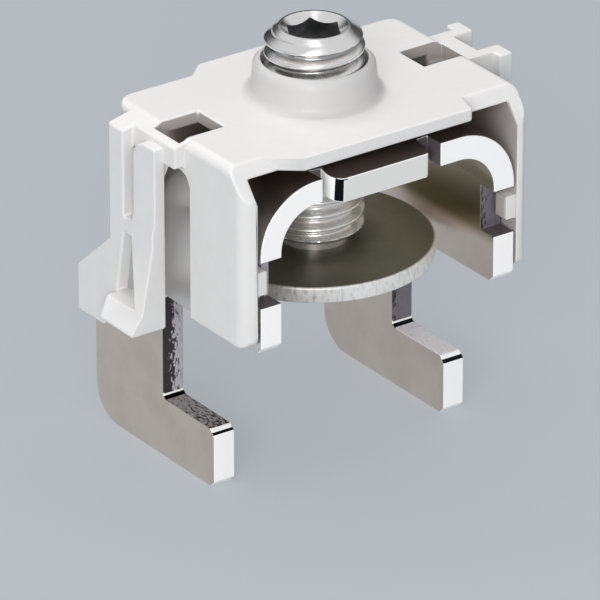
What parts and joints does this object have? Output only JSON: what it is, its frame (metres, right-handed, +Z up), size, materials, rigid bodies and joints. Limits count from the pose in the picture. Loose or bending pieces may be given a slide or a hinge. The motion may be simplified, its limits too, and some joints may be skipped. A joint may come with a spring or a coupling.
{
  "type": "terminal clamp",
  "caption": "Busbar terminal clamp: bent plated steel brace with hooked legs, socket set screw with a pressure disc, and a light grey moulded cover with a latch arm and a rail.",
  "frame": {"origin": "on the screw axis, level with the upper faces of the hooks that bear on the busbar", "axes": "+Z up along the screw axis, -Y towards the open mouth, +X towards the rail"},
  "size_m": [0.0528, 0.0344, 0.0533],
  "materials": {
    "cover_grey": "fine satin moulding",
    "brace_nickel": "dull nickel plate with bright cut edges",
    "screw_bright": "bright plated thread",
    "disc_dull": "dull plated plate"
  },
  "bodies": {
    "root": {"housing": "cover_grey", "brace": "brace_nickel"},
    "disc": {"pressure_disc": "disc_dull"},
    "screw": {"clamping_screw": "screw_bright"}
  },
  "joints": [
    {"name": "disc_travel", "type": "slide", "parent": "root", "child": "disc", "axis": [0, 0, -1], "range_m": [-0.00962, 0.00875]},
    {"name": "screw_turn", "type": "hinge", "parent": "disc", "child": "screw", "pos_m": [0, 0, 0], "axis": [0, 0, -1], "range_deg": [-1995, 1815]}
  ],
  "couplings": [
    {"joint": "screw_turn", "follows": "disc_travel", "rad_per_m": 3590.4}
  ]
}
